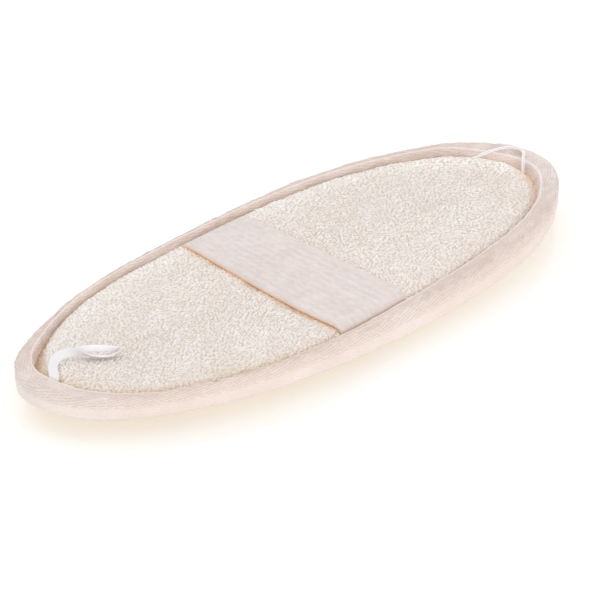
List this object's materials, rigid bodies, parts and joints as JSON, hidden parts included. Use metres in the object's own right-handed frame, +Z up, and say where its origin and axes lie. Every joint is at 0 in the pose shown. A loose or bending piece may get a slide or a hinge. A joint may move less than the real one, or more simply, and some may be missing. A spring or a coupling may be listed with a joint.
{
  "type": "loofah back scrubber",
  "caption": "Long oval loofah scrubbing pad with a terry top, twill-bound rim, elastic hand strap across the middle and a hanging loop at each end.",
  "frame": {"origin": "middle of the flat area on the underside of the loofah sole, which rests on the floor", "axes": "+X along the pad's length, +Y across it towards the far side, +Z up out of the terry face"},
  "size_m": [0.2604, 0.104, 0.0215],
  "materials": {
    "loofah": "coarse dried loofah fibre, matte",
    "sponge": "open-cell sponge, matte",
    "terry": "undyed cotton terry loop pile",
    "twill_tape": "cotton herringbone twill tape, matte",
    "thread": "polyester sewing thread, slight sheen",
    "elastic": "woven elastic webbing, fine ribs, slight sheen",
    "ribbon": "white polyester ribbon, satin"
  },
  "bodies": {
    "pad": {"loofah_panel": "loofah", "foam_core": "sponge", "terry_cover": "terry", "edge_binding": "twill_tape", "binding_needle_thread": "thread", "binding_bobbin_thread": "thread", "strap_end_near": "elastic", "strap_end_far": "elastic", "loop_end_left": "ribbon", "loop_end_right": "ribbon"},
    "strap": {"hand_strap": "elastic"},
    "loop_left": {"hanging_loop_left": "ribbon"},
    "loop_right": {"hanging_loop_right": "ribbon"}
  },
  "joints": [
    {"name": "strap_lift", "type": "slide", "parent": "pad", "child": "strap", "axis": [0, 0, 1], "range_m": [0, 0.028]},
    {"name": "loop_left_swing", "type": "hinge", "parent": "pad", "child": "loop_left", "pos_m": [-0.12162, -0.0018, 0.0189], "axis": [0.1436, -0.9896, 0], "range_deg": [0, 120]},
    {"name": "loop_right_swing", "type": "hinge", "parent": "pad", "child": "loop_right", "pos_m": [0.12162, 0.0018, 0.0189], "axis": [-0.1436, 0.9896, 0], "range_deg": [0, 120]}
  ]
}
